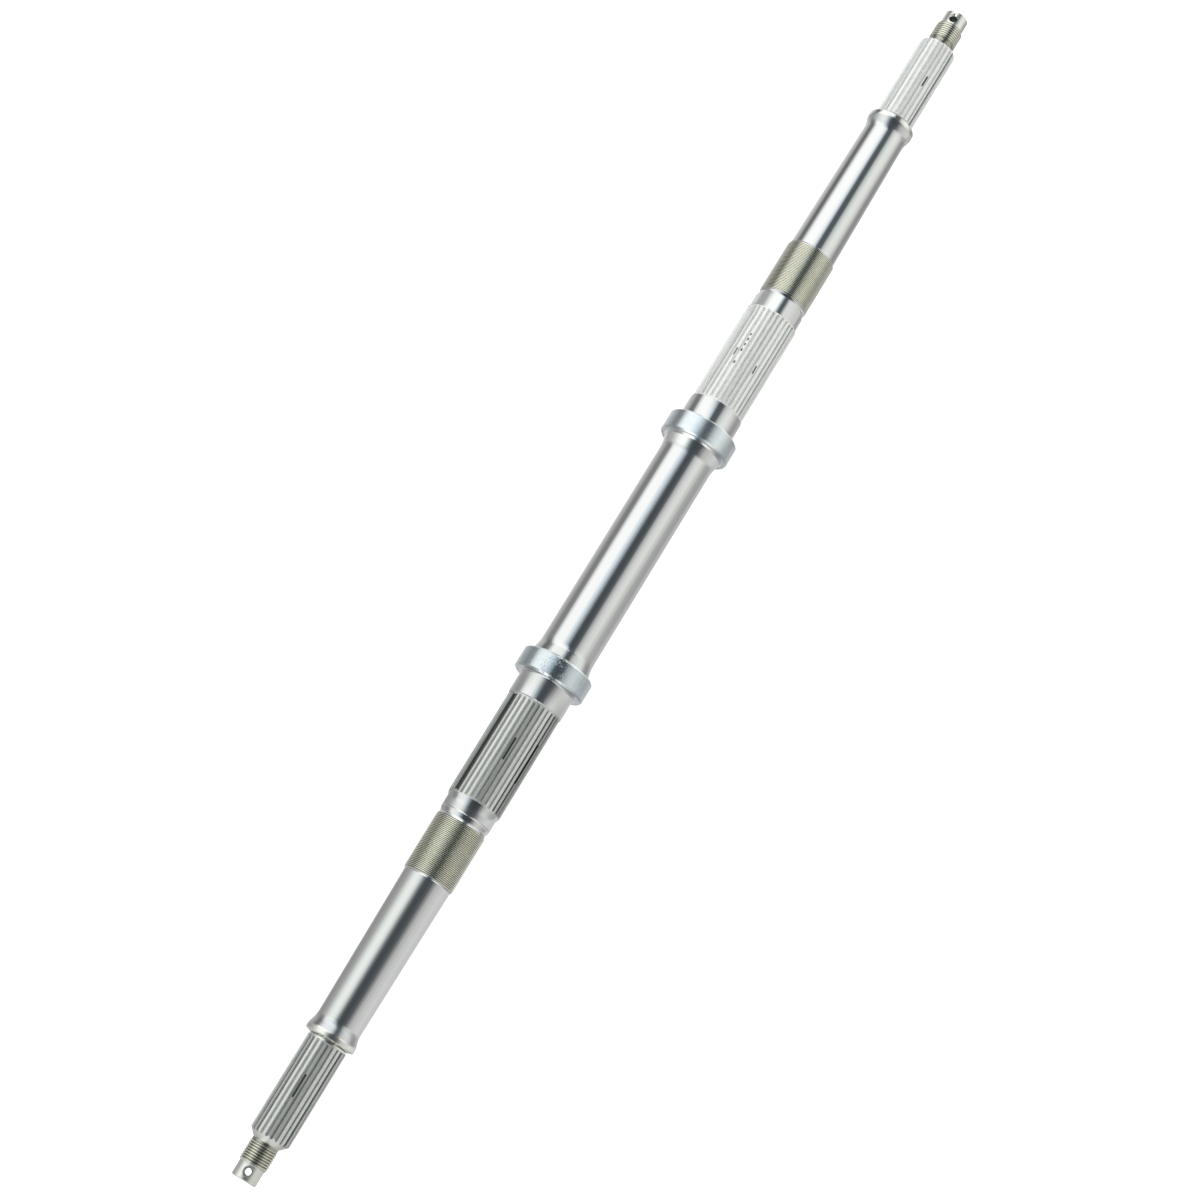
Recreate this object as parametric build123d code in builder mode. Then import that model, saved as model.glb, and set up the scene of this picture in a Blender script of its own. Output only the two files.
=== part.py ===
from build123d import *
import os

# Splined axle shaft: one turned steel bar with two rolled splines on each half.
# It lies along X with its middle at the origin and +Z up. The halves are mirror
# images, apart from the turn of the hub spline and of the cross hole at each end,
# and one scribed ring.
# All lengths are millimetres; a width or length runs along X.

# Middle tube and its flare up to the collar
tube_dia = 34.5
tube_half_length = 70.5
collar_flare_length = 6.8
collar_flare_rise = 1.4
collar_flare_blend = 22.0
collar_face_gap = 1.15

# Collar and bearing seat
collar_dia = 45.3
collar_width = 13.6
collar_chamfer = 1.05
seat_dia = 35.0
seat_width = 14.9
seat_fillet = 1.3
seat_chamfer = 0.5

# Inner spline, with a turned lead-in at its outer end
inner_teeth = 32
inner_tip_dia = 33.8
inner_length = 67.7
inner_lead_length = 2.1
inner_end_margin = 0.45

# Plain land, relief groove and large thread (plain at its major diameter)
land_dia = 31.85
land_length = 7.9
groove_side = 1.9
groove_floor = 0.7
groove_dia = 30.1
large_thread_dia = 31.9
large_thread_length = 35.2
large_thread_chamfer = 1.2

# Tapered outer tube and the flared shoulder behind the hub spline
taper_big_dia = 29.9
taper_small_dia = 27.5
taper_length = 95.0
shoulder_flare_length = 5.8
shoulder_flare_blend = 17.5
shoulder_dia = 31.0
shoulder_width = 3.15
shoulder_crown = 7.0
shoulder_chamfer = 0.45
shoulder_face_length = 1.15
neck_dia = 23.3
neck_width = 0.9

# Hub spline, open through the 45 degree cone at its outer end
hub_teeth = 23
hub_tip_dia = 24.6
hub_length = 58.6
hub_end_margin = 0.2
left_hub_turn = 0.0
right_hub_turn = 3.6

# One tooth space, the same on both splines
space_depth = 1.05
space_top_width = 2.15
space_root_width = 0.48
run_out_radius = 1.75

# End thread (plain at its major diameter) and the relief behind it
relief_dia = 16.2
relief_width = 1.3
end_thread_dia = 17.9
end_thread_length = 11.3
end_thread_chamfer = 0.6

# Tip with its countersunk cross hole for a cotter pin
tip_dia = 15.4
tip_length = 9.2
tip_chamfer = 0.6
cotter_dia = 4.2
cotter_from_end = 5.35
countersink_dia = 6.65
left_cotter_turn = 0.0
right_cotter_turn = -11.0

# Scribed ring on the left land
ring_from_groove = 0.9
ring_width = 0.6
ring_depth = 0.18

# Stations along X, from the middle outwards
x_flare = tube_half_length
x_flare_end = x_flare + collar_flare_length
x_collar = x_flare_end + collar_face_gap
x_seat = x_collar + collar_width
x_inner = x_seat + seat_width
x_inner_end = x_inner + inner_length
x_land = x_inner_end + inner_lead_length
x_groove = x_land + land_length
x_floor = x_groove + groove_side
x_floor_end = x_floor + groove_floor
x_large = x_floor_end + groove_side
x_large_end = x_large + large_thread_length
x_taper = x_large_end + large_thread_chamfer
x_taper_end = x_taper + taper_length
x_shoulder = x_taper_end + shoulder_flare_length
x_shoulder_end = x_shoulder + shoulder_width
x_neck = x_shoulder_end + shoulder_face_length
x_hub = x_neck + neck_width
x_hub_end = x_hub + hub_length
x_relief = x_hub_end + (hub_tip_dia - relief_dia) / 2
x_end_thread = x_relief + relief_width
x_end_thread_end = x_end_thread + end_thread_length
x_tip = x_end_thread_end + (end_thread_dia - tip_dia) / 2
x_end = x_tip + tip_length


def tooth_space(tip_dia, start, length, closed_ends):
    """Cutter for one tooth space, lying along local Z with its root towards the axis.

    The floor of the space rises in an arc at each closed end.
    """
    root = tip_dia / 2 - space_depth
    spread = space_top_width - space_root_width
    top_half_width = space_root_width / 2 + spread
    with BuildPart() as space:
        with BuildSketch(Plane.XY.offset(start)):
            with BuildLine():
                Line((root, -space_root_width / 2), (root + 2 * space_depth, -top_half_width))
                Line((root + 2 * space_depth, -top_half_width), (root + 2 * space_depth, top_half_width))
                Line((root + 2 * space_depth, top_half_width), (root, space_root_width / 2))
                Line((root, space_root_width / 2), (root, -space_root_width / 2))
            make_face()
        extrude(amount=length)
        floor_ends = space.edges().filter_by(Axis.Y).group_by(Axis.X)[0].sort_by(Axis.Z)
        fillet(floor_ends[:closed_ends], radius=run_out_radius)
    return space.part


inner_space = tooth_space(
    inner_tip_dia, x_inner + inner_end_margin, inner_length - 2 * inner_end_margin, 2
)
hub_space = tooth_space(
    hub_tip_dia, x_hub + hub_end_margin, hub_length + 2 * space_depth, 1
)

with BuildPart() as splined_shaft:
    # Right half of the turned form
    with BuildSketch(Plane.XZ) as outline:
        with BuildLine():
            Polyline(
                (0, 0),
                (0, tube_dia / 2),
                (x_flare, tube_dia / 2),
                (x_flare_end, tube_dia / 2 + collar_flare_rise),
                (x_collar, tube_dia / 2 + collar_flare_rise + collar_face_gap),
                (x_collar, collar_dia / 2 - collar_chamfer),
                (x_collar + collar_chamfer, collar_dia / 2),
                (x_seat - collar_chamfer, collar_dia / 2),
                (x_seat, collar_dia / 2 - collar_chamfer),
                (x_seat, seat_dia / 2),
                (x_inner - seat_chamfer, seat_dia / 2),
                (x_inner, inner_tip_dia / 2),
                (x_inner_end, inner_tip_dia / 2),
                (x_land, land_dia / 2),
                (x_groove, land_dia / 2),
                (x_floor, groove_dia / 2),
                (x_floor_end, groove_dia / 2),
                (x_large, large_thread_dia / 2),
                (x_large_end, large_thread_dia / 2),
                (x_taper, taper_big_dia / 2),
                (x_taper_end, taper_small_dia / 2),
                (x_shoulder, shoulder_dia / 2),
                (x_shoulder_end - shoulder_chamfer, shoulder_dia / 2),
                (x_shoulder_end, shoulder_dia / 2 - shoulder_chamfer),
                (x_neck, neck_dia / 2),
                (x_hub, neck_dia / 2),
                (x_hub, hub_tip_dia / 2),
                (x_hub_end, hub_tip_dia / 2),
                (x_relief, relief_dia / 2),
                (x_end_thread, relief_dia / 2),
                (x_end_thread + end_thread_chamfer, end_thread_dia / 2),
                (x_end_thread_end, end_thread_dia / 2),
                (x_tip, tip_dia / 2),
                (x_end - tip_chamfer, tip_dia / 2),
                (x_end, tip_dia / 2 - tip_chamfer),
                (x_end, 0),
                close=True,
            )
        make_face()
        for x, dia, blend in (
            (x_flare, tube_dia, collar_flare_blend),
            (x_seat, seat_dia, seat_fillet),
            (x_taper_end, taper_small_dia, shoulder_flare_blend),
            (x_shoulder, shoulder_dia, shoulder_crown),
        ):
            fillet(outline.vertices().sort_by_distance((x, dia / 2, 0))[0], radius=blend)
    revolve(axis=Axis.X)

    # Inner spline: one of its tooth spaces faces +Z
    with Locations(Plane.YZ):
        with PolarLocations(0, inner_teeth, start_angle=90):
            add(inner_space, mode=Mode.SUBTRACT)

    # Left half
    mirror(about=Plane.YZ)

    # Hub spline at each end: before its turn, one of its teeth faces +Z
    for side, turn in ((-1, left_hub_turn), (1, right_hub_turn)):
        facing_out = Plane((0, 0, 0), x_dir=(0, side, 0), z_dir=(side, 0, 0))
        first_space = 90 + 180 / hub_teeth + side * turn
        with Locations(facing_out):
            with PolarLocations(0, hub_teeth, start_angle=first_space):
                add(hub_space, mode=Mode.SUBTRACT)

    # Cross hole at each tip, countersunk at both mouths
    for side, turn in ((-1, left_cotter_turn), (1, right_cotter_turn)):
        for flip in (0, 180):
            mouth = Plane.XY.rotated((turn + flip, 0, 0)).offset(tip_dia / 2)
            with Locations(mouth * Pos(side * (x_end - cotter_from_end), 0, 0)):
                CounterSinkHole(cotter_dia / 2, countersink_dia / 2)

    # Scribed ring on the left land
    with BuildSketch(Plane.XZ):
        with Locations((-(x_groove - ring_from_groove), land_dia / 2)):
            Rectangle(ring_width, 2 * ring_depth)
    revolve(axis=Axis.X, mode=Mode.SUBTRACT)

splined_shaft.part.label = "splined_shaft"
os.makedirs("parts", exist_ok=True)
export_step(splined_shaft.part, "parts/splined_shaft.step")
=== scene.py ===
# %% [markdown]
# # A splined axle shaft
# The real thing is one steel bar, turned on a lathe. Its splines were rolled in,
# its threads cut, its bearing seats ground and its tips cross-drilled for cotter
# pins. This lesson builds it the same way round: a blank is turned first, then
# tooth spaces, thread grooves and holes are cut out of it.
#
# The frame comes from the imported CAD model, so the first step is to load it and to
# keep its box. The looks may not grow past that box.

import math

import bpy
from mathutils import Matrix, Vector


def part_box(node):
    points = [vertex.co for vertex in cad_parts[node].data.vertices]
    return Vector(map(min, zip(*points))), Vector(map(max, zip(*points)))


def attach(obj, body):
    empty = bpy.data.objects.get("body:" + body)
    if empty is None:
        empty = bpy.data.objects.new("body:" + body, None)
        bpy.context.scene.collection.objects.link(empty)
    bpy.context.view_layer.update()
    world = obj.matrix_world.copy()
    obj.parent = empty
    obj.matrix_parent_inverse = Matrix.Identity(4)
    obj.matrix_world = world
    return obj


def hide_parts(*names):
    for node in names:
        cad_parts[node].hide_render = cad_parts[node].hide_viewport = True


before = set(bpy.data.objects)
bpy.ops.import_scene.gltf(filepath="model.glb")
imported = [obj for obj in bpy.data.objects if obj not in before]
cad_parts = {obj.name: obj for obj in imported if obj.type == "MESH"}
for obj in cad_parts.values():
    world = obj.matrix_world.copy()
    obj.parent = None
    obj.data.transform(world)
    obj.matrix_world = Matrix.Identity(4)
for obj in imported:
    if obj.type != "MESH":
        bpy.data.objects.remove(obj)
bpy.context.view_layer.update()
low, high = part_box("splined_shaft")
print("CAD shaft, mm:", [round(1000 * (b - a), 2) for a, b in zip(low, high)])

# %% [markdown]
# Lengths on a drawing of such a shaft are millimetres and Blender's are metres, so
# every size below is written in millimetres and multiplied once, where a mesh is
# made. The first group holds radii, which are half the drawing's diameters. The two
# halves of the shaft have the same steps, so only the right half is listed in the
# second group: a name, then where the step starts along X from the middle.

# %% Sizes from the drawing
MM = 0.001
TUBE, COLLAR, SEAT, INNER_TIP = 34.5 / 2, 45.3 / 2, 35.0 / 2, 33.8 / 2
LAND, GROOVE, LARGE_THREAD = 31.85 / 2, 30.1 / 2, 31.9 / 2
TAPER_BIG, TAPER_SMALL, SHOULDER, NECK = 29.9 / 2, 27.5 / 2, 31.0 / 2, 23.3 / 2
HUB_TIP, RELIEF, END_THREAD, TIP = 24.6 / 2, 16.2 / 2, 17.9 / 2, 15.4 / 2

X_FLARE, X_FLARE_END, X_COLLAR, X_SEAT = 70.5, 77.3, 78.45, 92.05
X_INNER, X_INNER_END, X_LAND, X_GROOVE = 106.95, 174.65, 176.75, 184.65
X_FLOOR, X_FLOOR_END, X_LARGE, X_LARGE_END = 186.55, 187.25, 189.15, 224.35
X_TAPER, X_TAPER_END, X_SHOULDER, X_SHOULDER_END = 225.55, 320.55, 326.35, 329.5
X_NECK, X_HUB, X_HUB_END, X_RELIEF = 330.65, 331.55, 390.15, 394.35
X_END_THREAD, X_END_THREAD_END, X_TIP, X_END = 395.65, 406.95, 408.2, 417.4
print("length by the drawing, mm:", 2 * X_END)

# %% [markdown]
# Blender's operators act on whatever is selected, and the loader leaves the CAD
# nodes selected. Small helpers keep that under control: one selects nothing, one
# selects a single piece, and one picks faces or edges of a piece by a rule. Two more
# clean a piece's mesh and cut a tool out of a body.

# %% Helpers for clean modelling
def deselect():
    """Leave edit mode and select nothing."""
    if bpy.context.object and bpy.context.object.mode != "OBJECT":
        bpy.ops.object.mode_set(mode="OBJECT")
    bpy.ops.object.select_all(action="DESELECT")


def only(obj):
    """Make obj the one selected and active object."""
    deselect()
    obj.select_set(True)
    bpy.context.view_layer.objects.active = obj


def pick(obj, kind, wanted):
    """In edit mode, select just the FACE or EDGE elements that wanted says yes to."""
    only(obj)
    bpy.ops.object.mode_set(mode="EDIT")
    bpy.ops.mesh.select_mode(type=kind)
    bpy.ops.mesh.select_all(action="DESELECT")
    bpy.ops.object.mode_set(mode="OBJECT")
    chosen = 0
    for item in obj.data.polygons if kind == "FACE" else obj.data.edges:
        item.select = wanted(item)
        chosen += item.select
    bpy.ops.object.mode_set(mode="EDIT")
    return chosen


def tidy_mesh(obj, gap=0.0001):
    """Merge points closer than gap, in mm, and turn every face outwards."""
    only(obj)
    bpy.ops.object.mode_set(mode="EDIT")
    bpy.ops.mesh.select_all(action="SELECT")
    bpy.ops.mesh.remove_doubles(threshold=gap * MM)
    bpy.ops.mesh.normals_make_consistent(inside=False)
    bpy.ops.object.mode_set(mode="OBJECT")


def cut(body, tool):
    """Cut a closed tool out of body with a Boolean and delete the tool."""
    only(body)
    step = body.modifiers.new("cut", "BOOLEAN")
    step.operation, step.solver, step.object = "DIFFERENCE", "MANIFOLD", tool
    bpy.ops.object.modifier_apply(modifier=step.name)
    print("cut", tool.name, "- faces now:", len(body.data.polygons))
    bpy.data.meshes.remove(tool.data)


# %% [markdown]
# A lathe operator thinks in an outline: the edge of the part from one end to the
# other. The second helper below extrudes such an outline point by point and spins
# it about the X axis, as a lathe would. Rounded corners are asked for by a radius
# beside the corner, and the first helper swaps that corner for a short arc.

# %% The lathe
def rounded(outline, arc_points=7):
    """Outline of (x, r) or (x, r, radius) with each radius turned into an arc."""
    out = []
    for i, point in enumerate(outline):
        here = Vector(point[:2])
        if len(point) == 2:
            out.append(here)
            continue
        radius = point[2]
        back = (Vector(outline[i - 1][:2]) - here).normalized()
        on = (Vector(outline[i + 1][:2]) - here).normalized()
        half = back.angle(on) / 2
        middle = here + (back + on).normalized() * radius / math.sin(half)
        start = here + back * radius / math.tan(half) - middle
        turn = start.angle_signed(here + on * radius / math.tan(half) - middle)
        for k in range(arc_points + 1):
            angle = -turn * k / arc_points
            out.append(middle + Matrix.Rotation(angle, 2) @ start)
    return out


def turned(name, outline, steps=160):
    """A closed solid of revolution about X from an outline in millimetres."""
    points = [Vector((p[0] * MM, 0, p[1] * MM)) for p in outline]
    deselect()
    bpy.ops.mesh.primitive_plane_add(size=MM, location=points[0])
    obj = bpy.context.object
    obj.name = obj.data.name = name
    bpy.ops.object.mode_set(mode="EDIT")
    bpy.ops.mesh.select_mode(type="VERT")
    bpy.ops.mesh.merge(type="CENTER")
    for here, there in zip(points, points[1:]):
        bpy.ops.mesh.extrude_region_move(
            TRANSFORM_OT_translate={"value": there - here})
    bpy.ops.mesh.select_all(action="SELECT")
    bpy.ops.mesh.spin(steps=steps, angle=math.tau, center=(0, 0, 0), axis=(1, 0, 0))
    bpy.ops.object.mode_set(mode="OBJECT")
    bpy.ops.object.transform_apply(location=True, rotation=True, scale=True)
    tidy_mesh(obj)
    return obj


# %% [markdown]
# Now the blank. Its outline runs from the middle of the bar to the right tip; the
# left half is the same outline mirrored, so the list is walked backwards with the
# sign of X changed. The flares have large blends, as forging and grinding leave
# them, while the small edges only have a broken corner.

# %% Turn the blank
FLARE_RISE, FLARE_BLEND, FACE_GAP, COLLAR_CHAMFER = 1.4, 22.0, 1.15, 1.05
SEAT_FILLET, SEAT_CHAMFER, SHOULDER_BLEND, SHOULDER_CROWN = 1.3, 0.5, 17.5, 7.0
SHOULDER_CHAMFER, THREAD_CHAMFER, TIP_CHAMFER = 0.45, 0.6, 0.6

half = [
    (X_FLARE, TUBE, FLARE_BLEND), (X_FLARE_END, TUBE + FLARE_RISE),
    (X_COLLAR, TUBE + FLARE_RISE + FACE_GAP), (X_COLLAR, COLLAR - COLLAR_CHAMFER),
    (X_COLLAR + COLLAR_CHAMFER, COLLAR), (X_SEAT - COLLAR_CHAMFER, COLLAR),
    (X_SEAT, COLLAR - COLLAR_CHAMFER), (X_SEAT, SEAT, SEAT_FILLET),
    (X_INNER - SEAT_CHAMFER, SEAT), (X_INNER, INNER_TIP), (X_INNER_END, INNER_TIP),
    (X_LAND, LAND), (X_GROOVE, LAND), (X_FLOOR, GROOVE), (X_FLOOR_END, GROOVE),
    (X_LARGE, LARGE_THREAD), (X_LARGE_END, LARGE_THREAD), (X_TAPER, TAPER_BIG),
    (X_TAPER_END, TAPER_SMALL, SHOULDER_BLEND),
    (X_SHOULDER, SHOULDER, SHOULDER_CROWN),
    (X_SHOULDER_END - SHOULDER_CHAMFER, SHOULDER),
    (X_SHOULDER_END, SHOULDER - SHOULDER_CHAMFER), (X_NECK, NECK), (X_HUB, NECK),
    (X_HUB, HUB_TIP), (X_HUB_END, HUB_TIP), (X_RELIEF, RELIEF),
    (X_END_THREAD, RELIEF), (X_END_THREAD + THREAD_CHAMFER, END_THREAD),
    (X_END_THREAD_END, END_THREAD), (X_TIP, TIP), (X_END - TIP_CHAMFER, TIP),
    (X_END, TIP - TIP_CHAMFER), (X_END, 0.0),
]
right = rounded([(0, TUBE)] + half)[1:]
left = [Vector((-p.x, p.y)) for p in reversed(right)]
shaft = turned("turned_shaft", left + right)
print("blank faces:", len(shaft.data.polygons))

# %% [markdown]
# A spline is a ring of tooth spaces. One space is modelled as a closed bar with a
# V-like section whose floor curves up at an end where the rolling die left the
# steel. It starts as a box: its top face is pulled wide, and the floor's end edges
# are bevelled into arcs. Spin then copies it round the shaft.

# %% A ring of tooth spaces
DEPTH, PROUD, TOP_WIDTH, ROOT_WIDTH, RUN_OUT = 1.05, 0.35, 2.15, 0.48, 1.75


def space_ring(name, side, tip, teeth, start, end, closed_both, first_angle):
    """Closed cutters for every tooth space of one spline; side is -1 or 1."""
    deselect()
    middle = Vector((side * (start + end) / 2, 0, tip + (PROUD - DEPTH) / 2)) * MM
    bpy.ops.mesh.primitive_cube_add(size=1, location=middle)
    tool = bpy.context.object
    tool.name = tool.data.name = name
    tool.scale = Vector((end - start, ROOT_WIDTH, DEPTH + PROUD)) * MM
    bpy.ops.object.transform_apply(location=True, rotation=True, scale=True)

    pick(tool, "FACE", lambda face: face.normal.z > 0.9)
    wide = 1 + (TOP_WIDTH / ROOT_WIDTH - 1) * (DEPTH + PROUD) / DEPTH
    bpy.ops.transform.resize(value=(1, wide, 1), center_override=(0, 0, 0))

    def closes_the_floor(edge):
        a, b = (tool.data.vertices[i].co / MM for i in edge.vertices)
        across = abs(a.x - b.x) < 0.01 and a.z < tip and b.z < tip
        return across and (closed_both or side * a.x < (start + end) / 2)

    pick(tool, "EDGE", closes_the_floor)
    bpy.ops.mesh.bevel(offset=RUN_OUT * MM, segments=5)
    bpy.ops.mesh.select_all(action="SELECT")
    bpy.ops.transform.rotate(value=-first_angle, orient_axis="X",
                             center_override=(0, 0, 0))
    bpy.ops.mesh.spin(steps=teeth - 1, angle=math.tau * (teeth - 1) / teeth,
                      dupli=True, center=(0, 0, 0), axis=(1, 0, 0))
    bpy.ops.object.mode_set(mode="OBJECT")
    tidy_mesh(tool)
    return tool


# %% [markdown]
# Each half has two splines. The spaces of the inner one are closed at both ends, and
# those of the hub one run out through the cone. The halves match, but the right hub
# spline was rolled in another clamping and stands 3.6 degrees round.

# %% Cut the splines
INNER_TEETH, INNER_MARGIN = 32, 0.45
HUB_TEETH, HUB_MARGIN, CONE_OVERRUN, RIGHT_HUB_TURN = 23, 0.2, 2.3, 3.6

for side, name, hub_turn in ((-1, "left", 0.0), (1, "right", RIGHT_HUB_TURN)):
    cut(shaft, space_ring(name + "_inner_spaces", side, INNER_TIP, INNER_TEETH,
                          X_INNER + INNER_MARGIN, X_INNER_END - INNER_MARGIN,
                          closed_both=True, first_angle=0))
    first = math.pi / HUB_TEETH + math.radians(hub_turn)
    cut(shaft, space_ring(name + "_hub_spaces", side, HUB_TIP, HUB_TEETH,
                          X_HUB + HUB_MARGIN, X_HUB_END + CONE_OVERRUN,
                          closed_both=False, first_angle=first))
print("faces with splines:", len(shaft.data.polygons))

# %% [markdown]
# A thread is one groove wound round the bar. Its section is a 60 degree V with a
# narrow flat root, and the Screw modifier winds it: one turn forward by one pitch.
# The winding is capped at both ends so that it is a closed tool, and it starts and
# ends in the air of the reliefs, as a threading tool does.

# %% The threading tool
FLANK = math.radians(30)
THREAD_DEPTH, CREST_FLAT, TOOL_PROUD = 0.6134, 1 / 8, 0.08


def thread_groove(name, major, pitch, start, end, steps=64):
    """A closed right-handed helical groove from start to end along X."""
    deep, over = THREAD_DEPTH * pitch, TOOL_PROUD * pitch
    mouth_half = (1 - CREST_FLAT) / 2 * pitch
    root_half = mouth_half - deep * math.tan(FLANK)
    top_half = mouth_half + over * math.tan(FLANK)
    turns = max(1, round((end - start) / pitch))
    deselect()
    bpy.ops.mesh.primitive_plane_add(size=MM, rotation=(math.pi / 2, 0, 0))
    tool = bpy.context.object
    tool.name = tool.data.name = name
    bpy.ops.object.transform_apply(location=True, rotation=True, scale=True)
    section = {(-1, -1): (-root_half, major - deep), (1, -1): (root_half, major - deep),
               (-1, 1): (-top_half, major + over), (1, 1): (top_half, major + over)}
    for point in tool.data.vertices:
        corner = (1 if point.co.x > 0 else -1, 1 if point.co.z > 0 else -1)
        x, z = section[corner]
        point.co = Vector((start + x, 0, z)) * MM
    bpy.ops.object.mode_set(mode="EDIT")
    bpy.ops.mesh.select_all(action="SELECT")
    bpy.ops.mesh.delete(type="ONLY_FACE")
    bpy.ops.object.mode_set(mode="OBJECT")
    winding = tool.modifiers.new("winding", "SCREW")
    winding.axis, winding.angle = "X", math.tau
    winding.screw_offset, winding.iterations = pitch * MM, turns
    winding.steps = winding.render_steps = steps
    bpy.ops.object.modifier_apply(modifier=winding.name)
    bpy.ops.object.mode_set(mode="EDIT")
    bpy.ops.mesh.select_all(action="DESELECT")
    bpy.ops.mesh.select_mode(type="EDGE")
    bpy.ops.mesh.select_non_manifold()
    bpy.ops.mesh.edge_face_add()
    bpy.ops.object.mode_set(mode="OBJECT")
    tidy_mesh(tool)
    return tool


# %% [markdown]
# Both tips carry the same right-handed thread, so the tool is never mirrored: a
# mirror image is left-handed. It is wound from left to right on either half, and the
# four lead lengths are how far it reaches into the reliefs beside each thread.

# %% Cut the threads
LARGE_PITCH, LARGE_LEAD_IN, LARGE_LEAD_OUT = 1.0, 0.3, 0.3
END_PITCH, END_LEAD_IN, END_LEAD_OUT = 1.5, 0.6, 0.9

for side, name in ((1, "right"), (-1, "left")):
    near, far = sorted((side * (X_FLOOR_END + LARGE_LEAD_IN),
                        side * (X_TAPER + LARGE_LEAD_OUT)))
    cut(shaft, thread_groove(name + "_large_groove", LARGE_THREAD, LARGE_PITCH,
                             near, far))
    near, far = sorted((side * (X_RELIEF + END_LEAD_IN),
                        side * (X_TIP + END_LEAD_OUT)))
    cut(shaft, thread_groove(name + "_end_groove", END_THREAD, END_PITCH, near, far))
print("faces with threads:", len(shaft.data.polygons))

# %% [markdown]
# The cotter-pin hole goes straight through each tip and is countersunk at both
# mouths, so the pin's legs bend without a sharp edge. Its tool is one more lathe
# shape, a pin with a cone at each end, turned upright. The right hole stands 11
# degrees round from the left one.

# %% Drill the tips
X_COTTER = X_END - 5.35
DRILL, SINK, SINK_SLOPE = 4.2 / 2, 6.65 / 2, math.tan(math.radians(41))
SINK_PROUD, RIGHT_COTTER_TURN = 0.7, -11


def cross_drill(side, turn):
    """The drilled and countersunk cotter hole, through the axis at a turn about X."""
    deep, proud = TIP - (SINK - DRILL) / SINK_SLOPE, TIP + SINK_PROUD
    mouth = SINK + SINK_PROUD * SINK_SLOPE
    outline = [(-proud, 0), (-proud, mouth), (-deep, DRILL),
               (deep, DRILL), (proud, mouth), (proud, 0)]
    tool = turned("drill", outline, steps=64)
    tool.matrix_world = (Matrix.Translation((side * X_COTTER * MM, 0, 0))
                         @ Matrix.Rotation(math.radians(turn), 4, "X")
                         @ Matrix.Rotation(math.radians(-90), 4, "Y"))
    only(tool)
    bpy.ops.object.transform_apply(location=True, rotation=True, scale=True)
    return tool


cut(shaft, cross_drill(-1, turn=0))
cut(shaft, cross_drill(1, turn=RIGHT_COTTER_TURN))

# %% [markdown]
# Only the left land has a scribed ring, a shallow line cut with a pointed tool. The
# cutter here is a turned V, which stands well clear of the land beside the line.

# %% Scribe the ring
RING_X, RING_DEPTH, RING_TOOL_HALF, RING_TOOL_RISE = -(X_GROOVE - 0.9), 0.18, 2.0, 1.02
ring = [(RING_X, LAND - RING_DEPTH), (RING_X - RING_TOOL_HALF, LAND + RING_TOOL_RISE),
        (RING_X + RING_TOOL_HALF, LAND + RING_TOOL_RISE), (RING_X, LAND - RING_DEPTH)]
cut(shaft, turned("scribed_ring", ring))

# %% [markdown]
# The cuts leave a few needle-thin triangles where two edges nearly meet. Merging
# points closer than a thousandth of a millimetre removes them. Smooth shading with
# an angle limit then keeps every machined edge sharp and every round face round.

# %% Finish the mesh
SMOOTH_BELOW = math.radians(28)

tidy_mesh(shaft, gap=0.001)
only(shaft)
bpy.ops.object.shade_smooth_by_angle(angle=SMOOTH_BELOW)
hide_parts("splined_shaft")
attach(shaft, "root")
shaft.data.calc_loop_triangles()
print("finished shaft triangles:", len(shaft.data.loop_triangles))

# %% [markdown]
# Materials are node graphs. Wiring each Math node by hand makes long code, so a
# socket is wrapped in a small class whose Python operators add the Math nodes: the
# line 1 - mask * 0.5 then builds its own nodes.

# %% A socket that does arithmetic
class Wire:
    """An output socket that understands Python arithmetic."""

    def __init__(self, graph, socket):
        self.graph, self.socket = graph, socket

    def maths(self, operation, *values):
        """The result of one Math node on the values, which are wires or numbers."""
        return self.graph.add("ShaderNodeMath", {"operation": operation},
                              dict(enumerate(values)))

    def __add__(self, other): return self.maths("ADD", self, other)
    def __radd__(self, other): return self.maths("ADD", other, self)
    def __sub__(self, other): return self.maths("SUBTRACT", self, other)
    def __rsub__(self, other): return self.maths("SUBTRACT", other, self)
    def __mul__(self, other): return self.maths("MULTIPLY", self, other)
    def __truediv__(self, other): return self.maths("DIVIDE", self, other)
    def __abs__(self): return self.maths("ABSOLUTE", self)
    def angle_from(self, other): return self.maths("ARCTAN2", self, other)
    def at_most(self, limit): return self.maths("MINIMUM", self, limit)
    def root(self): return self.maths("SQRT", self)

    def step(self, start, end):
        """0 before start, 1 after end, and a smooth rise between them."""
        return self.graph.add("ShaderNodeMapRange",
                              {"interpolation_type": "SMOOTHSTEP"},
                              {0: self, 1: start, 2: end, 3: 0.0, 4: 1.0})

    def band(self, start, end, soft):
        """1 between start and end, fading out over soft on both sides."""
        return self.step(start - soft, start) * (1 - self.step(end, end + soft))


# %% [markdown]
# Every other node comes from one method that sets its options first and then its
# sockets. A socket is given either a value or a wire from another node. The few
# nodes that are used over and over get a short method of their own.

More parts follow.
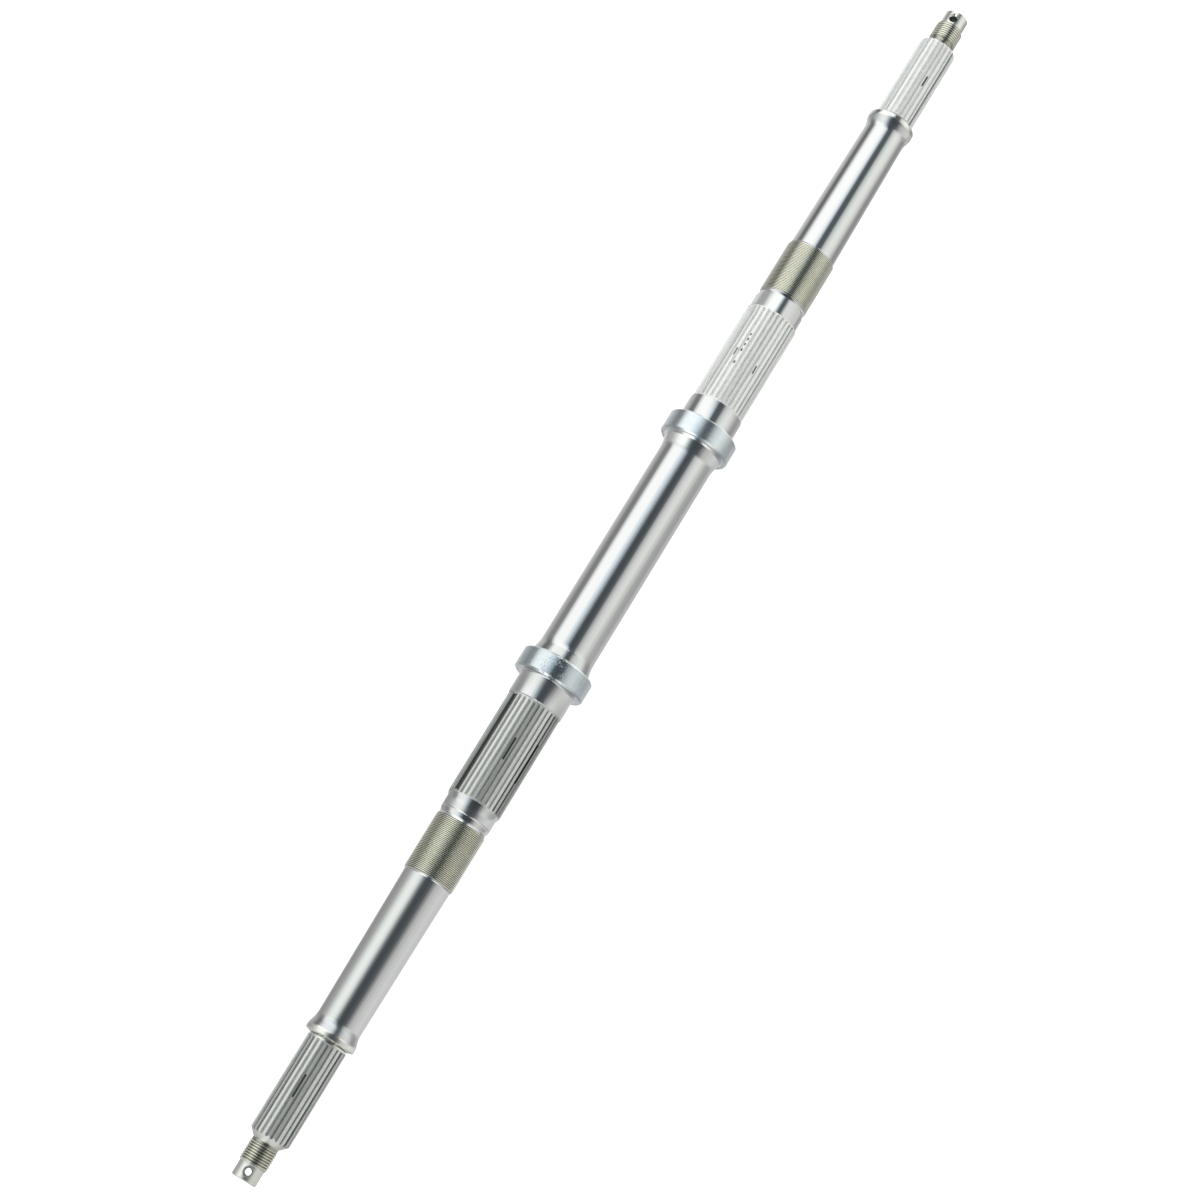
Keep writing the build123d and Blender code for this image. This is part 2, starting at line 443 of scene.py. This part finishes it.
# %% A graph that adds nodes
class Graph:
    """Adds nodes to one node tree."""

    def __init__(self, tree):
        self.tree = tree

    def add(self, kind, settings=None, sockets=None, out=0):
        """A new node with its settings and sockets; out names the output returned."""
        node = self.tree.nodes.new(kind)
        for key, value in (settings or {}).items():
            if key == "stops":
                stops = node.color_ramp.elements
                while len(stops) < len(value):
                    stops.new(0.5)
                for stop, (place, colour) in zip(stops, value):
                    stop.position, stop.color = place, (*colour, 1.0)
            elif key == "interpolation":
                node.color_ramp.interpolation = value
            else:
                setattr(node, key, value)
        for key, value in (sockets or {}).items():
            if isinstance(value, Wire):
                self.tree.links.new(value.socket, node.inputs[key])
            else:
                node.inputs[key].default_value = value
        return Wire(self, node.outputs[out])

    def parts(self, vector):
        """The x, y and z of a vector, as three wires."""
        split = self.add("ShaderNodeSeparateXYZ", {}, {0: vector})
        return [Wire(self, split.socket.node.outputs[i]) for i in range(3)]

    def mix(self, mask, first, second):
        """Colour first where mask is 0, second where it is 1."""
        return self.add("ShaderNodeMix", {"data_type": "RGBA"},
                        {0: mask, 6: first, 7: second}, out=2)

    def noise(self, vector, scale, detail, roughness):
        """Cloudy noise from 0 to 1; a larger scale makes it finer."""
        return self.add("ShaderNodeTexNoise", {},
                        {"Vector": vector, "Scale": scale, "Detail": detail,
                         "Roughness": roughness})


# %% [markdown]
# Polished steel shows the room more than itself, so the studio matters as much as
# the metal. It has a wide white screen on one side, a dimmer one on the other, and
# a dark ceiling between them, which the bar mirrors as a thin line. The screens are
# written down as a ring of brightnesses: each row is an angle round the bar in
# degrees, how bright the studio is there, and a tint. The screens change along the
# bar, so there are three rings for the straight parts of the bar. The flares tilt,
# so they mirror what hangs beyond either end, which takes two rings more.

# %% The screens round the bar
TINTS = {"n": (1.0, 1.0, 1.0), "b": (0.90, 1.03, 1.12), "g": (0.99, 1.03, 0.99),
         "w": (1.0, 1.01, 0.97)}


def ring_of_light(*rows):
    """Ramp stops from (angle, brightness, tint) rows."""
    return [((angle + 180) / 360, tuple(bright * t for t in TINTS[tint]))
            for angle, bright, tint in rows]


beyond_left = ring_of_light(
    (-180, .46, "n"), (-139, .42, "n"), (-116, .32, "n"), (-95, .38, "n"),
    (-80, .52, "w"), (-62, .62, "w"), (-48, .50, "n"), (-38, .26, "n"),
    (-26, .07, "b"), (-8, .05, "b"), (10, .07, "b"), (20, .34, "b"), (30, .70, "b"),
    (40, .90, "n"), (64, .90, "n"), (76, .66, "n"), (86, .26, "n"), (102, .22, "n"),
    (122, .35, "n"), (150, .48, "n"), (180, .46, "n"))
left_end = ring_of_light(
    (-180, .50, "n"), (-139, .50, "n"), (-99, .58, "n"), (-75, .53, "w"),
    (-52, .42, "n"), (-40, .23, "n"), (-28, .09, "b"), (-10, .06, "b"), (4, .07, "b"),
    (14, .20, "b"), (24, .52, "g"), (34, .74, "g"), (50, .80, "g"), (66, .68, "g"),
    (80, .47, "g"), (96, .32, "n"), (128, .25, "n"), (150, .38, "n"), (180, .50, "n"))
middle = ring_of_light(
    (-180, .46, "n"), (-139, .42, "n"), (-116, .32, "n"), (-95, .36, "n"),
    (-80, .52, "w"), (-62, .68, "w"), (-46, .63, "n"), (-33, .46, "n"),
    (-20, .09, "b"), (-8, .06, "b"), (3, .07, "b"), (12, .34, "b"), (22, .66, "b"),
    (36, .93, "n"), (64, .93, "n"), (76, .66, "n"), (84, .22, "n"), (100, .19, "n"),
    (122, .35, "n"), (150, .52, "n"), (180, .46, "n"))
right_end = ring_of_light(
    (-180, .45, "n"), (-150, .36, "n"), (-125, .23, "n"), (-108, .28, "n"),
    (-92, .50, "w"), (-76, .69, "w"), (-56, .73, "g"), (-42, .63, "g"),
    (-32, .47, "g"), (-22, .10, "b"), (-10, .085, "b"), (-2, .10, "b"), (6, .60, "b"),
    (16, .88, "n"), (32, .97, "n"), (62, .94, "n"), (72, .62, "n"), (84, .16, "n"),
    (96, .13, "n"), (120, .41, "n"), (145, .56, "n"), (180, .45, "n"))
beyond_right = ring_of_light(
    (-180, .50, "n"), (-120, .52, "n"), (-60, .60, "w"), (-32, .56, "n"),
    (-22, .36, "n"), (-15, .10, "b"), (-6, .06, "b"), (3, .10, "b"), (11, .45, "b"),
    (22, .78, "g"), (60, .82, "g"), (76, .64, "g"), (90, .36, "n"), (112, .34, "n"),
    (150, .44, "n"), (180, .50, "n"))
RINGS = (beyond_left, left_end, middle, right_end, beyond_right)
print("rows of light in each ring:", [len(ring) for ring in RINGS])

# %% [markdown]
# The world plays those screens. A world's Generated coordinate is the direction of a
# ray, from -1 to 1 along X, so its Y and Z give the angle round the bar, and its X
# says which ring a mirrored ray meets. What the right tip mirrors hangs 8 degrees
# further round. The rows give the brightness as it is seen in the metal, which
# mirrors about 0.62 of the light, so the world shines that much brighter. It gains
# more far out at both ends of the room, which the bar's steep cones and shoulders
# mirror, but not where the flat end face looks: each change is where along X it
# starts and ends, and how much it adds. What the camera sees past the floor is plain
# white.

# %% Light the studio
JOINS = ((-0.08, -0.03), (0.10, 0.27), (0.29, 0.44), (0.53, 0.58))
GAIN_CHANGES = ((-0.85, -0.6, -0.6), (-0.45, 0.0, 0.25), (0.65, 0.9, 0.9),
                (0.92, 0.99, -0.9))
FIRST_GAIN, STEEL_MIRRORS, TIP_TURN = 1.35, 0.62, 8 / 360

scene = bpy.context.scene
scene.world = bpy.data.worlds.new("studio")
scene.world.use_nodes = True
scene.world.node_tree.nodes.clear()
room = Graph(scene.world.node_tree)
x, y, z = room.parts(room.add("ShaderNodeTexCoord", out="Generated"))
round_the_bar = y.angle_from(z) / math.tau + x.step(0.487, 0.505) * TIP_TURN + 0.5
screens = [room.add("ShaderNodeValToRGB", {"stops": ring, "interpolation": "EASE"},
                    {0: round_the_bar})
           for ring in RINGS]
glow = screens[0]
for (start, end), screen in zip(JOINS, screens[1:]):
    glow = room.mix(x.step(start, end), glow, screen)
gain = FIRST_GAIN
for start, end, change in GAIN_CHANGES:
    gain = gain + x.step(start, end) * change
mirrored = room.add("ShaderNodeBackground", {},
                    {"Color": glow, "Strength": gain / STEEL_MIRRORS})
white = room.add("ShaderNodeBackground", {},
                 {"Color": (1, 1, 1, 1), "Strength": 1.0})
seen = room.add("ShaderNodeLightPath", out="Is Camera Ray")
sky = room.add("ShaderNodeMixShader", {}, {0: seen, 1: mirrored, 2: white})
output = room.tree.nodes.new("ShaderNodeOutputWorld")
room.tree.links.new(sky.socket, output.inputs["Surface"])
print("studio nodes:", len(room.tree.nodes))

# %% [markdown]
# The floor is a sheet of white acrylic on a light table: it glows a little, so the
# shadows on it stay pale. It lies where the two collars touch down. Mirrors do not
# see it, since the bar's underside should show the dim room and not the lit table.

# %% Lay the floor
deselect()
bpy.ops.mesh.primitive_plane_add(size=12, location=(0, 0, -COLLAR * MM))
floor = bpy.context.object
floor.name = "floor"
floor.visible_glossy = False
acrylic = bpy.data.materials.new("white_acrylic")
acrylic.use_nodes = True
sheet = acrylic.node_tree.nodes["Principled BSDF"]
sheet.inputs["Base Color"].default_value = (0.85, 0.85, 0.85, 1)
sheet.inputs["Roughness"].default_value = 0.9
sheet.inputs["Specular IOR Level"].default_value = 0.0
sheet.inputs["Emission Color"].default_value = (1, 1, 1, 1)
sheet.inputs["Emission Strength"].default_value = 0.78
floor.data.materials.append(acrylic)
print("floor at", round(floor.location.z / MM, 2), "mm")

# %% [markdown]
# The camera stands almost straight above the left tip, 1.36 m up, and leans along
# the bar, so the left end looks larger than the right one. It is rolled until the
# bar runs from the lower left to the upper right of the picture. Lengths here are
# metres, as in Blender's own camera panel.

# %% Place the camera
LEAN, SWAY, ROLL = math.radians(14.70), math.radians(3.0), math.radians(58.45)
AIM_X, DISTANCE, SIDE_STEP, LENS = -0.03168, 1.4044, 0.00022, 71.58

overhead = Vector((0, -math.sin(SWAY), math.cos(SWAY)))
bar_way = Vector((math.cos(LEAN), 0, 0)) + overhead * math.sin(LEAN)
look = Vector((math.sin(LEAN), 0, 0)) - overhead * math.cos(LEAN)
side_way = look.cross(bar_way).normalized()
view_right = bar_way * math.cos(ROLL) + side_way * math.sin(ROLL)
view_up = bar_way * math.sin(ROLL) - side_way * math.cos(ROLL)
eye = Vector((AIM_X, 0, 0)) - look * DISTANCE + side_way * SIDE_STEP
deselect()
bpy.ops.object.camera_add()
camera = bpy.context.object
axes = Matrix((view_right, view_up, -look)).transposed().to_4x4()
camera.matrix_world = Matrix.Translation(eye) @ axes
camera.data.sensor_width, camera.data.lens = 36.0, LENS
camera.data.clip_end = 50
scene.camera = camera
scene.view_settings.view_transform = "Standard"
print("camera at", [round(v, 4) for v in eye])

# %% [markdown]
# The bar carries five finishes, one after another along its length: ground steel on
# the tube and the seats, rolled steel in the splines, bare satin steel on the
# shoulders and the tips, a yellow-grey passivation on the threads and bluish zinc on
# the collars. All of them are metals, so each starts from the same few lines, and
# what sets it apart is its colour, its roughness and the marks its tools left.

# %% The start of every finish
def finish(name):
    """A metal material with its graph, its shader node and its place wires in mm."""
    material = bpy.data.materials.new(name)
    material.use_nodes = True
    tree = material.node_tree
    skin = tree.nodes["Principled BSDF"]
    skin.inputs["Metallic"].default_value = 1.0
    graph = Graph(tree)
    place = graph.add("ShaderNodeTexCoord", out="Object")
    along, across, above = [part * 1000 for part in graph.parts(place)]
    return material, graph, skin, (place, along, across, above)


def connect(material, graph, skin, **wires):
    """Join wires to the shader's sockets, with _ for a space in a socket's name."""
    for name, wire in wires.items():
        graph.tree.links.new(wire.socket, skin.inputs[name.replace("_", " ")])
    print("finish", material.name, "- nodes:", len(graph.tree.nodes))
    return material


# %% [markdown]
# Four measures turn up in most finishes: how far a point is from the axis, its angle
# round the bar, the fine lines that a lathe or a grinding wheel leaves, and a bump
# that turns a height into a tilt of the surface.

# %% Measures that the finishes share
def from_axis(across, above):
    """Distance from the bar's axis in mm."""
    return (across * across + above * above).root()


def degrees_round(across, above):
    """Angle round the bar in degrees, 0 at the top."""
    return across.angle_from(above) * (180 / math.pi)


def lathe_lines(graph, along, around, scale):
    """Noise that is long round the bar and short along it, as a tool leaves it."""
    where = graph.add("ShaderNodeCombineXYZ", {}, {0: along * scale, 1: around, 2: 0.0})
    return graph.noise(where, scale=1.0, detail=3.0, roughness=0.6)


def bumps(graph, height, strength):
    """A normal from a height, which stands 0.1 mm proud at most."""
    return graph.add("ShaderNodeBump", {},
                     {"Strength": strength, "Distance": 0.1 * MM, "Height": height})


# %% [markdown]
# Ground steel is nearly a mirror. The grinding wheel leaves fine rings, so the
# roughness changes from ring to ring and a faint bump follows the same rings.
# A slow noise adds the uneven oily film that a handled part has, and a few dark
# specks sit on the flares beside the collars. The flare behind the left shoulder is
# darker and a little rougher. One side of the flare at the right collar, the side
# that mirrors the bright screen, is painted pale as a painted highlight.

# %% Ground steel
OILY, CLEAN = (0.56, 0.57, 0.58, 1), (0.70, 0.70, 0.69, 1)
# The first colour on the next line is a painted highlight for one side of the right
# flare; the second is for dark specks.
PAINTED_HIGHLIGHT, SPECK = (0.95, 0.95, 0.93, 1), (0.10, 0.10, 0.11, 1)


def ground_steel():
    """Nearly a mirror, with grinding rings, an oily film and a painted highlight on the
    right flare.
    """
    material, graph, skin, (place, along, across, above) = finish("ground_steel")
    rings = lathe_lines(graph, along, across.angle_from(above) * 0.6, scale=1.7)
    film = graph.noise(place, scale=60.0, detail=3.0, roughness=0.55)
    around = degrees_round(across, above)
    specks = graph.noise(place, scale=800.0, detail=2.0, roughness=0.7)
    specks = specks.step(0.60, 0.68) * abs(along).band(71.0, 77.0, soft=2.0)
    specks = specks * around.band(-16.0, -6.0, soft=9.0)
    left_flare = along.band(-X_SHOULDER, -X_TAPER_END, soft=1.5)
    # Painted highlight: the side of the right flare that faces the bright screen is
    # painted pale.
    right_flare_painted_highlight = along.band(X_FLARE + 2, X_COLLAR, soft=2.5) * around.step(0.0, 20.0)
    tone = rings * 0.10 + film * 0.16 + 0.37 - left_flare * 0.5
    colour = graph.mix(tone, OILY, CLEAN)
    colour = graph.mix(right_flare_painted_highlight * 0.5, colour, PAINTED_HIGHLIGHT)
    colour = graph.mix(specks, colour, SPECK)
    rough = rings * 0.05 + film * 0.06 + 0.06 + specks * 0.3 + left_flare * 0.08
    return connect(material, graph, skin, Base_Color=colour, Roughness=rough,
                   Normal=bumps(graph, rings, strength=0.06))


tube_steel = ground_steel()

# %% [markdown]
# Rolled splines are satin, the right-hand ones duller than the left-hand ones. Their
# crowns are rubbed bright by the mating hub, and on the right-hand splines the crown
# colour is painted whiter: painted light, for the brighter light at that end. The roots
# are darker, partly from oil and partly as painted shade, and most of all low down at
# the sides, where the darkening is painted shade; so the colour follows the distance
# from the axis and the angle round it. On the left half painted shade also dims the
# crowns at the sides, by a share given for each spline. Each spline has a few dark
# dashes and dots: the long ones low at the sides are painted shade along the roots,
# and the short ones are dark marks. A mark is a place along the bar, an angle round
# it, a length and a width, in millimetres and degrees.

# %% Rolled spline steel
# On the next two lines: the second crown colour is whiter as painted light for the
# right end; the first dark colour is oil and painted shade in the roots; the second
# dark colour is for dark marks and painted shade.
LEFT_CROWN, RIGHT_CROWN_PAINTED_LIGHT = (0.75, 0.76, 0.73, 1), (0.95, 0.95, 0.93, 1)
OIL_AND_PAINTED_SHADE, DARK_MARKS_AND_PAINTED_SHADE = (0.12, 0.125, 0.12, 1), (0.03, 0.03, 0.03, 1)


def rolled_steel(name, tip, marks, side_shade):
    """Satin crowns at radius tip, roots darkened by oil and painted shade, marks, and
    painted shade at the sides.
    """
    material, graph, skin, (place, along, across, above) = finish(name)
    radius = from_axis(across, above)
    around = degrees_round(across, above)
    right = along.step(-100.0, 100.0)
    high = radius.step(tip - 1.0, tip - 0.35 - right * 0.2)
    streaks = graph.add("ShaderNodeCombineXYZ", {},
                        {0: along * 0.05, 1: across * 3.0, 2: above * 3.0})
    grain = graph.noise(streaks, scale=1.0, detail=3.0, roughness=0.6)
    speck = graph.noise(place, scale=1100.0, detail=2.0, roughness=0.6)
    # Painted shade: the roots at the sides are darkened, and on the left half the
    # crowns at the sides as well.
    painted_side_shade = abs(around).step(36.0, 52.0) * (1 - high) * (1.0 - right * 0.6)
    painted_side_shade = painted_side_shade + abs(around).step(40.0, 62.0) * (1 - right) * side_shade
    # The roots are darkened, partly as oil and partly as painted shade.
    oil_and_painted_root_shade = (1 - high) * (0.52 - right * 0.34) + (grain - 0.5) * 0.7
    oil_and_painted_root_shade = oil_and_painted_root_shade + (speck - 0.5) * 0.6
    # Painted light: towards the right end the crowns are mixed whiter.
    colour = graph.mix(oil_and_painted_root_shade + painted_side_shade, graph.mix(right, LEFT_CROWN, RIGHT_CROWN_PAINTED_LIGHT), OIL_AND_PAINTED_SHADE)
    dark_marks_and_painted_shade = 0
    # Long marks low at the sides are painted shade; short ones are dark marks.
    for x, angle, long, wide in marks:
        spot = along.band(x - long / 2, x + long / 2, soft=0.7)
        spot = spot * around.band(angle - wide / 2, angle + wide / 2, soft=0.9)
        dark_marks_and_painted_shade = dark_marks_and_painted_shade + spot
    colour = graph.mix(dark_marks_and_painted_shade.at_most(0.92), colour, DARK_MARKS_AND_PAINTED_SHADE)
    rough = 0.42 + right * 0.14 + speck * 0.08 + dark_marks_and_painted_shade * 0.2
    return connect(material, graph, skin, Base_Color=colour, Roughness=rough,
                   Normal=bumps(graph, grain + speck * 0.6, strength=0.2))


# Painted shade: the long marks at 50 to 57 degrees round, three on the inner splines
# and one on the right hub spline, stand for shade in the deep roots at the sides. The
# rest are short dark marks.
INNER_MARKS = [(-138.6, -4.5, 14.0, 3.4), (-139.8, -56.6, 25.5, 6.0),
               (-140.8, 50.0, 64.0, 4.4), (140.8, -55.5, 66.0, 2.4),
               (133.7, 18.0, 0.9, 3.0), (142.7, 18.0, 0.9, 3.0),
               (146.9, 18.0, 0.8, 2.4), (150.7, 18.0, 0.9, 3.0),
               (154.3, 18.0, 0.7, 2.4), (140.5, 28.0, 4.5, 1.6),
               (136.0, -27.2, 5.0, 1.8)]
HUB_MARKS = [(-359.0, 1.8, 13.5, 4.8), (361.0, -19.5, 7.0, 4.0),
             (361.0, -54.5, 60.0, 7.0)]
inner_steel = rolled_steel("inner_spline_steel", INNER_TIP, INNER_MARKS, side_shade=0.45)
hub_steel = rolled_steel("hub_spline_steel", HUB_TIP, HUB_MARKS, side_shade=0.18)

# %% [markdown]
# The threads have a thin yellow-grey passivation. It is worn off along the crests and
# faintly speckled, and the roots are darker: partly a thicker film and partly painted
# shade.

# %% Passivated thread
ROOT_FILM_AND_PAINTED_SHADE, WORN_CREST = (0.36, 0.36, 0.31, 1), (0.93, 0.93, 0.84, 1)


def passivated_thread(name, major, pitch):
    """Yellow-grey roots, darkened partly as painted shade, and worn crests on a thread
    of this radius and pitch.
    """
    material, graph, skin, (place, along, across, above) = finish(name)
    depth = round(THREAD_DEPTH * pitch, 2)
    # Below the crests the darker root colour is partly the film and partly painted
    # shade in the thread roots.
    crest = from_axis(across, above).step(major - depth, major - 0.3 * depth)
    right = along.step(-150.0, 150.0)
    speck = graph.noise(place, scale=1400.0, detail=2.0, roughness=0.6)
    cloud = graph.noise(place, scale=70.0, detail=3.0, roughness=0.6)
    tone = crest * (0.95 - right * 0.2) + (speck - 0.5) * 0.3 + (cloud - 0.5) * 0.25
    rough = 0.24 - right * 0.06 + (speck - 0.5) * 0.08
    return connect(material, graph, skin, Roughness=rough,
                   Base_Color=graph.mix(tone, ROOT_FILM_AND_PAINTED_SHADE, WORN_CREST))


large_steel = passivated_thread("large_thread_steel", LARGE_THREAD, LARGE_PITCH)
end_steel = passivated_thread("end_thread_steel", END_THREAD, END_PITCH)

# %% [markdown]
# Bright zinc is bluish and a little cloudy, and duller on the right collar. It is
# mottled with small grey specks, which show most along the top of the left collar,
# where it mirrors the dark ceiling.

# %% Zinc
GREY_ZINC, BRIGHT_ZINC = (0.42, 0.48, 0.51, 1), (0.70, 0.75, 0.77, 1)


def zinc():
    """Bluish, cloudy and finely mottled plating."""
    material, graph, skin, (place, along, across, above) = finish("zinc_collar")
    right = along.step(-60.0, 60.0)
    cloud = graph.noise(place, scale=110.0, detail=4.0, roughness=0.6)
    speck = graph.noise(place, scale=800.0, detail=3.0, roughness=0.7)
    around = degrees_round(across, above)
    spots = speck.step(0.52, 0.64) * cloud.step(0.38, 0.52) * (1 - right * 0.8)
    spots = spots * (around.band(-16.0, 16.0, soft=12.0) * 0.7 + 0.3)
    tone = cloud * 0.6 + 0.22 + right * 0.2 - spots * 0.3
    rough = cloud * 0.08 + spots * 0.2 + 0.06 + right * 0.10
    return connect(material, graph, skin, Roughness=rough,
                   Base_Color=graph.mix(tone, GREY_ZINC, BRIGHT_ZINC),
                   Normal=bumps(graph, spots, strength=0.45))


collar_zinc = zinc()

# %% [markdown]
# The shoulders, the cones and the tips are bare and satin, with a trace of yellow.
# The shoulders are smoother than the rest. The walls of the drilled holes are painted
# dark as painted shade, and the left shoulder has a small rust stain.

# %% Bare satin steel
DULL_BARE, BRIGHT_BARE = (0.60, 0.61, 0.57, 1), (0.86, 0.87, 0.82, 1)
# The second colour on the next line is painted shade for the walls of the cross holes.
RUST, HOLE_PAINTED_SHADE = (0.34, 0.16, 0.11, 1), (0.10, 0.10, 0.09, 1)


def bare_steel():
    """Satin steel with a rust stain, and painted shade inside the cross holes."""
    material, graph, skin, (place, along, across, above) = finish("bare_steel")
    around = degrees_round(across, above)
    right = along.step(-100.0, 100.0)
    cloud = graph.noise(place, scale=140.0, detail=4.0, roughness=0.6)
    speck = graph.noise(place, scale=900.0, detail=3.0, roughness=0.65)
    # Painted shade: the walls of the cross holes are darkened.
    inside = 1 - from_axis(across, above).step(TIP - 2.4, TIP - 0.9)
    inside = inside * (1 - abs(along).step(X_END - 0.3, X_END))
    shoulder = 1 - abs(along).step(X_HUB, X_HUB + 10)
    rust = along.band(-331.0, -325.5, soft=1.5) * around.band(-17.0, -14.5, soft=2.5)
    colour = graph.mix(cloud * 0.6 + speck * 0.35, DULL_BARE, BRIGHT_BARE)
    colour = graph.mix(rust * 0.55, colour, RUST)
    colour = graph.mix(inside * 0.85, colour, HOLE_PAINTED_SHADE)
    rough = 0.30 - right * 0.10 - shoulder * 0.18 + cloud * 0.08 + rust * 0.15
    return connect(material, graph, skin, Base_Color=colour, Roughness=rough,
                   Normal=bumps(graph, cloud + speck * 0.5, strength=0.25))


tip_steel = bare_steel()

# %% [markdown]
# A mesh can hold several materials, and each face says which one it wears. The
# faces of a finish are picked by their distance from the middle of the bar, and the
# slot is assigned in edit mode, exactly as it would be by hand. The whole bar wears
# ground steel first, and each later finish takes its own spans over from it.

# %% Dress the shaft
def dress(obj, material, *spans):
    """Give material to the faces whose centre lies in a span of |x|, in mm."""
    obj.data.materials.append(material)
    chosen = pick(obj, "FACE", lambda face: any(
        start <= abs(face.center.x) / MM <= end for start, end in spans))
    obj.active_material_index = len(obj.data.materials) - 1
    bpy.ops.object.material_slot_assign()
    bpy.ops.object.mode_set(mode="OBJECT")
    print("dressed", chosen, "faces in", material.name)


EDGE, BEFORE_THREAD, AFTER_THREAD, BEFORE_SHOULDER = 0.01, 0.4, 0.1, 0.5
shaft.data.materials.clear()
dress(shaft, tube_steel, (0, X_END))
dress(shaft, collar_zinc, (X_COLLAR - EDGE, X_SEAT + EDGE))
dress(shaft, tip_steel, (X_SHOULDER - BEFORE_SHOULDER, X_HUB),
      (X_HUB_END, X_RELIEF + EDGE), (X_END_THREAD_END, X_END + EDGE))
dress(shaft, inner_steel, (X_INNER, X_INNER_END))
dress(shaft, hub_steel, (X_HUB, X_HUB_END))
dress(shaft, large_steel, (X_LARGE - BEFORE_THREAD, X_LARGE_END + AFTER_THREAD))
dress(shaft, end_steel, (X_RELIEF + EDGE, X_END_THREAD_END + AFTER_THREAD))
